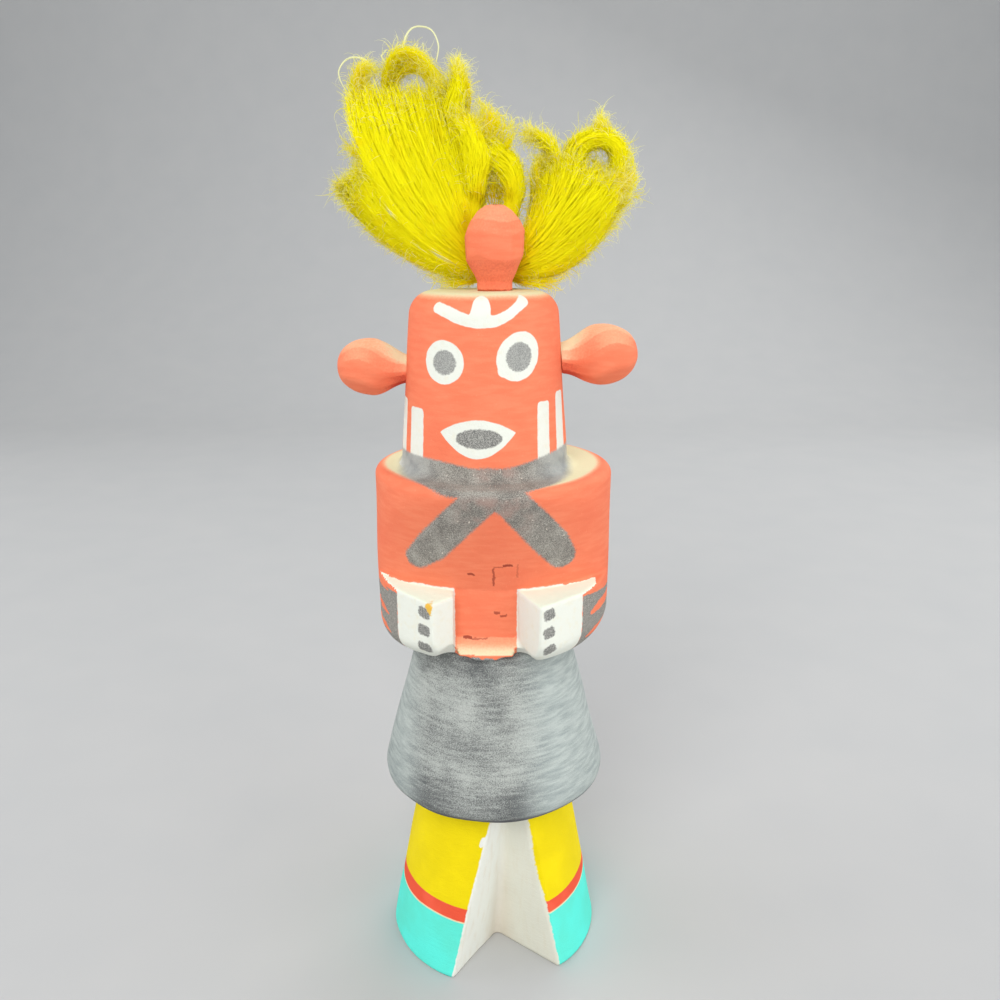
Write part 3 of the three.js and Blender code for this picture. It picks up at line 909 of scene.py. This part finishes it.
# The curled tips, thin enough to see through.
AIRY_FANS = {
    "left": [
        fan(4.5, 0.0, 0.26,
            [(-30, 202), (-31.4, 206.6), (-30.2, 210.4), (-27.3, 212.3), (-25.3, 210.6)],
            [(-25, 203), (-26, 206.8), (-28.4, 209.4), (-27.2, 212.4)]),
        fan(4.4, 0.5, 0.42,
            [(-23.8, 203), (-24.4, 209.6), (-22.4, 214.2), (-19, 216), (-15.2, 214.2), (-11.2, 210.2),
             (-8.4, 206.6)],
            [(-20, 203), (-20.8, 208.2), (-18.8, 210.8), (-15.6, 210.8), (-13.2, 208.4), (-12, 205.4)]),
        fan(4.0, 0.0, 0.14,
            [(-10.8, 203), (-9.6, 207.4), (-8, 210.2), (-7.6, 212.6)],
            [(-5, 201), (-4.6, 205.6), (-5.8, 209.2), (-6.8, 211.6)]),
        fan(3.6, 0.0, 0.16,
            [(-5.6, 197), (-3.4, 201.2), (-2.8, 203.8), (-3.4, 205.4)],
            [(1.5, 192.5), (3.8, 195.4), (5.4, 198.4), (5.2, 199.8)]),
        fan(3.0, 1.0, 0.08,
            [(-0.6, 183), (-1.6, 187), (0, 189.6), (1.6, 189)],
            [(2.8, 183), (2.6, 186), (1, 187.6), (-0.4, 186.2)]),
        fan(3.5, 0.5, 0.12,
            [(-24, 185), (-28.6, 192), (-31.6, 195.6), (-32.8, 196.6)],
            [(-22, 187), (-26.4, 191.4), (-28.8, 192), (-30.4, 190.8)]),
        fan(3.4, -2.0, 0.05,
            [(-3, 166.4), (-6, 166), (-9.6, 165.8), (-13, 166)],
            [(-3, 168), (-7, 167.2), (-11, 167.4), (-14.6, 168.2)]),
    ],
    "right": [
        fan(2.4, 0.6, 0.12,
            [(20.6, 196), (22, 198.4), (22.8, 200), (23.8, 202.4)],
            [(27.2, 196.6), (26.2, 199.2), (25.2, 200.6), (24.2, 202)]),
        fan(2.6, 1.4, 0.1,
            [(18.5, 185), (20.6, 189), (22.6, 191.4), (25.4, 191.6)],
            [(26, 184), (26.4, 188), (24.6, 191), (21.6, 193.6)]),
        fan(2.0, -1.0, 0.1,
            [(14.4, 191), (13, 196.6), (10.4, 198.5), (6.9, 198.6)],
            [(12.6, 190), (12, 194.6), (10.2, 196.8), (7.6, 197.8)]),
        fan(3.0, 0.0, 0.12,
            [(8, 181), (8.6, 187), (8.8, 190.6), (10, 192.6)],
            [(12.5, 184), (13, 190), (12, 193.6), (10.6, 193.4)]),
        fan(4.0, 0.5, 0.13,
            [(26.4, 183), (29.4, 188.6), (31.4, 192), (30.6, 195.4)],
            [(22, 176), (27.6, 181), (31.2, 184.2), (33.2, 184.8)]),
        fan(3.4, -2.0, 0.06,
            [(4, 166.6), (8, 165.9), (11.4, 165.4), (14.6, 164.8)],
            [(4, 167.8), (8.6, 167), (12.8, 167), (16.6, 167.6)]),
    ],
}
# Pale spots where the quills of short feathers show, as (x, z, radius).
SPECKS = [(-22.5, 181.5, 0.9), (-21.8, 183.2, 0.5), (-16.4, 174.3, 0.5), (-12.0, 172.4, 0.9),
          (-10.6, 171.6, 0.7)]
# Bare, pale shafts that loop out of the down: (x, z) points.
SHAFTS = {
    "left": [[(-19.6, 212), (-19.2, 216.1), (-18, 219), (-16, 220), (-13.1, 219.2), (-11.6, 216.1),
              (-12.1, 212.6)],
             [(-25.5, 209.5), (-26.9, 212.8), (-29.5, 213.9), (-31.9, 213.3), (-33.4, 210.9), (-32.6, 208.2),
              (-30.6, 205.6)],
             [(-22.4, 209), (-22.9, 212.2), (-23.9, 213.9), (-23, 215.4)],
             [(-27, 189), (-30.2, 187.6), (-31.6, 190), (-31, 193.4), (-31.2, 196.4), (-28.4, 197)]],
    "right": [[(11, 186), (9, 188.6), (8.6, 191.4), (9.6, 192.8), (10.6, 191.8), (10, 189)],
              [(25, 184), (29, 187.8), (31, 188.4), (33, 188.2)]],
}
SHAFT_RADIUS = 0.24
DOWN_Y = 8.2                            # the tuft's middle plane, behind the knob
DOWN_VOXEL = 0.7 if FINE else 1.2
# How thick a fan is along its length, and the room that the down leaves round the knob and over the crown.
THICKNESS = [0.45, 0.85, 1.0, 0.95, 0.65]
KNOB_ROOM = Sizes(radius=7.4, gap=0.1, high=185.5)
CROWN_ROOM = Sizes(radius=18, gap=0.3, drop=4.5, drop_from=12, drop_to=17.5)


def spread(values, shares):
    """Values at even steps, read smoothly at shares from 0 to 1, and a little beyond."""
    values = np.asarray(values, float)
    steps = len(values) - 1
    place = np.clip(shares, -0.3, 1.3) * steps
    first = np.clip(np.floor(place).astype(int), 0, steps - 1)
    part = place - first
    padded = np.concatenate([[2 * values[0] - values[1]], values, [2 * values[-1] - values[-2]]])
    a, b, c, d = (padded[first + k] for k in range(4))
    return b + 0.5 * part * (c - a + part * (2 * a - 5 * b + 4 * c - d + part * (3 * (b - c) + d - a)))


def fan_place(fan, across, along, out):
    """The point of a fan at shares across and along it, and at a share of its depth."""
    guides = fan.guides
    last = len(guides) - 1
    place = np.clip(across, -0.25, 1.25) * last
    first = np.clip(np.floor(place).astype(int), 0, last - 1)
    part = place - first
    spots = []
    for axis in (0, 1):
        lines = np.stack([spread([point[axis] for point in guide], along) for guide in guides])
        low = np.take_along_axis(lines, first[None], 0)[0]
        high = np.take_along_axis(lines, first[None] + 1, 0)[0]
        spots.append(low + part * (high - low))
    thickness = fan.depth * spread(THICKNESS, along)
    return np.stack([spots[0], DOWN_Y + fan.deep + thickness * out, spots[1]], -1)


def fan_size(fan):
    """A fan's length and its width near the tips."""
    first, last = fan.guides[0], fan.guides[-1]
    return sum(math.dist(a, b) for a, b in zip(first, first[1:])), math.dist(first[-2], last[-2])


def fan_ways(fan, across, along, out):
    """The points of a fan, the way its down runs there, and the way out of it."""
    wide = fan_size(fan)[1]
    here = fan_place(fan, across, along, out)
    run = unit(fan_place(fan, across, along + 0.03, out) - here)
    middle = fan_place(fan, 0 * across + 0.5, along, 0 * out)
    return here, run, unit((here - middle) / (wide / 2, fan.depth * 0.6, wide / 2))


def clear_of_wood(points):
    """Moves the down out of the knob and off the crown."""
    x, y, z = np.moveaxis(points, -1, 0)
    dx = (x - KNOB.x) / KNOB_ROOM.radius
    behind = KNOB_ROOM.radius * np.sqrt(1 - np.clip(dx, -1, 1) ** 2) + KNOB_ROOM.gap
    y = np.where((np.abs(dx) < 1) & (z < KNOB_ROOM.high), np.maximum(y, behind), y)
    reach = length(x - HEAD.x, y)
    drop = CROWN_ROOM.drop * ease(reach, CROWN_ROOM.drop_from, CROWN_ROOM.drop_to)
    crown = HEAD.high + CROWN_ROOM.gap - drop
    z = np.where(reach < CROWN_ROOM.radius, np.maximum(z, crown), z)
    return np.stack([x, y, z], -1)


def swayed(points, amount, chance):
    """Strands with a soft bend of their own, more towards their tips."""
    step = np.linspace(0, 1, points.shape[1])[None, :, None]
    for _ in range(2):
        way = chance.normal(size=(len(points), 1, 3))
        rate = chance.uniform(1.5, 6, (len(points), 1, 1))
        phase = chance.uniform(0, 2 * math.pi, (len(points), 1, 1))
        points = points + amount * way * (np.sin(rate * step + phase) - np.sin(phase)) * step
    return points


def drawing(chance, count):
    """A function that draws one number a strand, between two limits."""
    return lambda low, high: chance.uniform(low, high, (count, 1))


def combed(fan, count, chance):
    """Long strands that lie along a fan's surface, gathered in soft locks."""
    step = np.linspace(0, 1, 7)[None, :]
    draw = drawing(chance, count)
    locks = 5 * (len(fan.guides) - 1)
    angle = draw(0, 2 * math.pi)
    across = 0.5 + 0.5 * np.cos(angle)
    lock = np.round(across * locks)
    start = draw(-0.02, 0.9)
    along = np.minimum(start + draw(0.25, 0.55) * step, 0.98 + 0.05 * draw(-1, 1) + 0.04 * step)
    across = across + (lock / locks - across) * 0.2 * ease(along, 0.3, 1.05)
    points, _, out = fan_ways(fan, across, along, np.sin(angle) * draw(0.93, 1.05) + 0 * step)
    tone = (0.55 + 0.25 * np.sin(2.7 * lock + 1) + 0.2 * draw(-1, 1))[:, 0]
    return clear_of_wood(swayed(points, 0.4, chance)), out, tone


def wisps(fan, count, chance):
    """Loose strands of a fan's curled tips, in thin locks that part."""
    step = np.linspace(0, 1, 10)[None, :]
    draw = drawing(chance, count)
    locks = 9
    lock = chance.integers(0, locks, (count, 1))
    across = (lock + 0.5) / locks + 0.04 * draw(-1, 1) * (0.4 + 1.6 * step)
    deep = np.sin(5.3 * lock + 1) * 0.8 + 0.2 * draw(-1, 1) * (0.3 + step)
    start = draw(-0.1, 0.35)
    along = np.minimum(start + draw(0.35, 0.8) * step, 1.08 + 0 * step)
    points, _, out = fan_ways(fan, across, along, deep)
    return clear_of_wood(swayed(points, 0.45, chance)), out, draw(0, 1)[:, 0]


def curled(fan, count, chance, lengths, lift, bend, edges=False):
    """Short strands that leave a fan by some lift and curl up, all over it or at its edges and tips."""
    steps = 7
    step = np.linspace(0, 1, steps)[None, :]
    draw = drawing(chance, count)
    angle = draw(0, 2 * math.pi)
    along = draw(0, 1.0)
    if edges:
        at_tip = draw(0, 1) < 0.5
        side = np.round(angle / math.pi) * math.pi + 0.4 * chance.normal(size=(count, 1))
        angle = np.where(at_tip, angle, side)
        along = np.where(at_tip, 1 - 0.2 * draw(0, 1) ** 1.5, along)
    across = 0.5 + 0.5 * np.cos(angle) * draw(0.85, 1.0)
    start, run, out = fan_ways(fan, across, along, np.sin(angle) * draw(0.85, 1.0))
    way = unit(run * draw(0.4, 1)[..., None] + out * lift * draw(0, 1)[..., None]
               + 0.3 * chance.normal(size=(count, 1, 3)))
    axis = unit(np.cross(way, chance.normal(size=(count, 1, 3))))
    aside = np.cross(axis, way)
    size = draw(*lengths) * draw(0.5, 1)
    turn = bend * draw(0.35, 1.3) * np.sign(draw(-1, 1)) * step ** 1.2
    turn = turn[..., None]
    moves = (np.cos(turn) * way + np.sin(turn) * aside) * size[..., None] / (steps - 1)
    points = start + np.concatenate([0 * moves[:, :1], np.cumsum(moves[:, :-1], axis=1)], axis=1)
    return clear_of_wood(points), np.broadcast_to(out, points.shape), draw(0, 1)[:, 0]


def ribbons(name, strands, layer, chance):
    """Thin tapering ribbons along strands, with marks for how pale they are along their length and for
    their tones."""
    points, out, tone = [np.concatenate(parts) for parts in zip(*strands)]
    number, steps = points.shape[:2]
    share = np.linspace(0, 1, steps)[None, :, None]
    along = unit(np.gradient(points, axis=1))
    side = unit(np.cross(along, out))
    normal = np.cross(side, along)
    turn = chance.uniform(-layer.roll, layer.roll, (number, 1, 1))
    side = side * np.cos(turn) + normal * np.sin(turn)
    half = 0.5 * layer.width * chance.uniform(0.6, 1.3, (number, 1, 1)) * (1 - 0.8 * share ** 1.5)
    rims = np.stack([points - side * half, points + side * half], 2)
    first = np.arange(number)[:, None] * steps * 2 + np.arange(steps - 1)[None, :] * 2
    faces = np.stack([first, first + 1, first + 3, first + 2], -1).reshape(-1, 4)
    mesh = new_mesh(name, rims.reshape(-1, 3), faces.tolist())
    size = (number, steps, 2)
    x, y, z = np.moveaxis(rims, -1, 0)
    near_quill = most(reach - length(x - u, z - v) for u, v, reach in SPECKS)
    root, tip = layer.pale
    pale = np.broadcast_to(root + (tip - root) * share, size)
    set_mark(mesh, "tip", np.maximum(pale, 0.9 * ease(near_quill, 0, 0.4) * (y < DOWN_Y)).ravel())
    set_mark(mesh, "tone", np.broadcast_to(tone[:, None, None], size).ravel())
    return add_piece(name, mesh, layer.material)


def tube_faces(rings, sides, base):
    """The faces of a closed tube whose rings of points start at base."""
    faces = []
    for ring in range(base, base + (rings - 1) * sides, sides):
        for j in range(sides):
            a, b = ring + j, ring + (j + 1) % sides
            faces.append((a, b, b + sides, a + sides))
    first, last = range(base, base + sides), range(base + (rings - 1) * sides, base + rings * sides)
    return faces + [tuple(reversed(first)), tuple(last)]


def core(name, fans, material):
    """The dense middle of the down: closed shapes along the fans, merged, with a combed surface."""
    rings, sides = 30, 40
    along = np.linspace(0.0, 0.97, rings)[:, None]
    angle = np.linspace(0, 2 * math.pi, sides, endpoint=False)[None, :]
    closing = 0.9 * np.sqrt(np.clip(1 - np.abs(2 * np.linspace(0, 1, rings)[:, None] - 1) ** 8, 0.1, 1))
    points, faces = [], []
    for fan in fans:
        faces += tube_faces(rings, sides, len(points))
        across = 0.5 + 0.5 * closing * np.cos(angle)
        grid = fan_place(fan, across, along + 0 * angle, closing * np.sin(angle))
        points += clear_of_wood(grid).reshape(-1, 3).tolist()
    mesh = applied(new_mesh(name, points, faces), "REMESH", mode="VOXEL", voxel_size=DOWN_VOXEL * UNIT)
    mesh = applied(mesh, "SMOOTH", factor=0.5, iterations=6)
    set_mark(mesh, "tip", 0.0)
    set_mark(mesh, "tone", 0.5 + 0.2 * waves(mesh_points(mesh), 4, 6))
    return add_piece(name, mesh, material)


def shafts(name, paths, material):
    """Fine round feather shafts along their paths."""
    rings, sides = 28, 6
    share = np.linspace(0, 1, rings)
    angle = 2 * math.pi * np.arange(sides)[None, :, None] / sides
    radius = (SHAFT_RADIUS * (1 - 0.5 * share))[:, None, None]
    points, faces = [], []
    for path in paths:
        faces += tube_faces(rings, sides, len(points))
        x, z = [spread([point[axis] for point in path], share) for axis in (0, 1)]
        line = np.stack([x, DOWN_Y - 0.5 + np.sin(5 * share + x[0]), z], -1)
        along = unit(np.gradient(line, axis=0))
        side = unit(np.cross(along, (0, 1, 0)))
        other = np.cross(along, side)
        round_ways = side[:, None] * np.cos(angle) + other[:, None] * np.sin(angle)
        points += (line[:, None] + radius * round_ways).reshape(-1, 3).tolist()
    mesh = new_mesh(name, points, faces)
    set_mark(mesh, "tip", 1.0)
    set_mark(mesh, "tone", 0.8)
    return add_piece(name, mesh, material)


def down_paint(name, through):
    """Dyed down, which lets a share of the light through."""
    paint = Paint(name, 0.9)
    tone = paint.mark("tone")
    yellow = paint.mix(tone, tint(244, 234, 0), tint(253, 246, 6))
    yellow = paint.graded(paint.noise(5, 2.0), 0.5, 0.75, yellow, tint(248, 226, 0), top=0.4)
    pale = paint.mix(tone, tint(242, 244, 190), tint(252, 253, 232))
    colour = paint.graded(paint.mark("tip"), 0.2, 1.0, yellow, pale, top=0.95)
    material = paint.finish(colour)
    glow = paint.node("BsdfTranslucent", {"Color": colour}).outputs["BSDF"]
    both = paint.node("MixShader", {"Fac": through, 1: paint.shader.outputs["BSDF"], 2: glow})
    paint.feed(both.outputs["Shader"], paint.nodes["Material Output"].inputs["Surface"])
    return material


packed_down = down_paint("dyed_down", 0.1)
loose_down = down_paint("loose_down", 0.6)
# The layers of strands: how they are made and in which fans, how many there are for a whole share, how wide
# they are and how far they may roll, and how pale they are at root and tip.
LAYERS = {
    "combed": Sizes(make=combed, fans=DENSE_FANS, count=6200, width=0.21, roll=0.22, pale=(0.0, 0.2),
                    material=packed_down),
    "fluff": Sizes(make=partial(curled, lengths=(2, 6), lift=0.3, bend=0.9), fans=DENSE_FANS, count=4200,
                   width=0.15, roll=0.9, pale=(0.0, 0.4), material=packed_down),
    "fringe": Sizes(make=partial(curled, lengths=(2.5, 7), lift=0.9, bend=2.4, edges=True), fans=DENSE_FANS,
                    count=4700, width=0.15, roll=1.2, pale=(0.15, 0.85), material=loose_down),
    "wisps": Sizes(make=wisps, fans=AIRY_FANS, count=2000, width=0.19, roll=0.8, pale=(0.0, 0.35),
                   material=loose_down),
    "curls": Sizes(make=partial(curled, lengths=(2.5, 7), lift=0.8, bend=3.4), fans=AIRY_FANS, count=1700,
                   width=0.14, roll=1.2, pale=(0.25, 0.9), material=loose_down),
}
FEWEST = 8
PART = 1.0 if FINE else 0.15
for side_name, fans in DENSE_FANS.items():
    chance = np.random.default_rng(30 + len(AIRY_FANS[side_name]))
    strands = {}
    for kind, layer in LAYERS.items():
        counted = [(each, max(FEWEST, int(layer.count * each.share * PART)))
                   for each in layer.fans[side_name]]
        strands[kind] = [layer.make(each, count, chance) for each, count in counted]
    pieces = [core("down_core_" + side_name, fans, packed_down)]
    for kind, layer in LAYERS.items():
        pieces.append(ribbons("down_" + kind + "_" + side_name, strands[kind], layer, chance))
    pieces.append(shafts("down_shafts_" + side_name, SHAFTS[side_name], loose_down))
    for piece in pieces:
        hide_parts("plume_" + side_name)


# ---------- floor, light and camera ----------

DOLL_MIDDLE = Vector((0, 0, 0.11))
# Each light's place, size across and power.
LAMPS = {"key": ((-0.22, -0.8, 0.74), 0.7, 6.5), "left": ((-0.8, 0.1, 0.4), 0.8, 2.4),
         "right": ((0.85, 0.1, 0.4), 0.8, 2.0), "fill": ((0.75, -0.55, 0.3), 0.8, 3.0),
         "rim": ((0.3, 0.7, 0.8), 0.6, 3.6)}
# The camera's place in the part's millimetres, and how many degrees it looks down and to the right.
CAMERA = Sizes(lens=32.18, sensor=36.0, place=(0, -204.8, 175.2), down=16.06, right=0.45)


def sweep():
    """A pale floor that curves up into a backdrop."""
    half_width, depth, height, bend, steps = 1.6, 1.1, 1.6, 0.45, 24
    profile = [(-1.2, 0.0)]
    for step in range(steps + 1):
        angle = math.pi / 2 * step / steps
        profile.append((depth - bend + bend * math.sin(angle), bend - bend * math.cos(angle)))
    profile.append((depth, height))
    points = [(side * half_width, y, z) for y, z in profile for side in (-1, 1)]
    faces = [(2 * k, 2 * k + 1, 2 * k + 3, 2 * k + 2) for k in range(len(profile) - 1)]
    mesh = bpy.data.meshes.new("sweep")
    mesh.from_pydata(points, [], faces)
    mesh.polygons.foreach_set("use_smooth", np.ones(len(faces), bool))
    paint = Paint("studio_paper", 0.9)
    mottle = paint.noise(30, 2.0)
    mesh.materials.append(paint.finish(paint.mix(mottle, tint(186, 187, 187), tint(192, 192, 191))))
    placed("sweep", mesh)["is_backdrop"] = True


def lamp(name, place, size, power):
    """A round soft light, aimed at the doll's middle."""
    data = bpy.data.lights.new(name, "AREA")
    data.shape = "DISK"
    data.size = size
    data.energy = power
    light = placed(name, data)
    light.location = place
    light.rotation_euler = (DOLL_MIDDLE - Vector(place)).to_track_quat("-Z", "Y").to_euler()


def make_camera():
    """Close and a little above, as a phone held over the doll, looking down at its chest."""
    data = bpy.data.cameras.new("camera")
    data.lens = CAMERA.lens
    data.sensor_width = CAMERA.sensor
    data.clip_start = 0.01
    camera = placed("camera", data)
    camera.location = Vector(CAMERA.place) * UNIT
    camera.rotation_euler = (math.radians(90 - CAMERA.down), 0, math.radians(-CAMERA.right))
    bpy.context.scene.camera = camera


def make_world():
    """Soft light from all round."""
    world = bpy.data.worlds.new("studio")
    world.use_nodes = True
    background = world.node_tree.nodes["Background"]
    background.inputs["Color"].default_value = tint(235, 238, 242)
    background.inputs["Strength"].default_value = 0.56
    bpy.context.scene.world = world


sweep()
for lamp_name, (place, size, power) in LAMPS.items():
    lamp(lamp_name, place, size, power)
make_world()
bpy.context.scene.view_settings.view_transform = "Standard"
make_camera()

# ---------- the model's size, for comparison with the CAD ----------

def corners(bounds):
    return [[float(value) for value in corner] for corner in bounds]


{"cad": corners(cad_bounds), "visual": corners(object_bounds())}
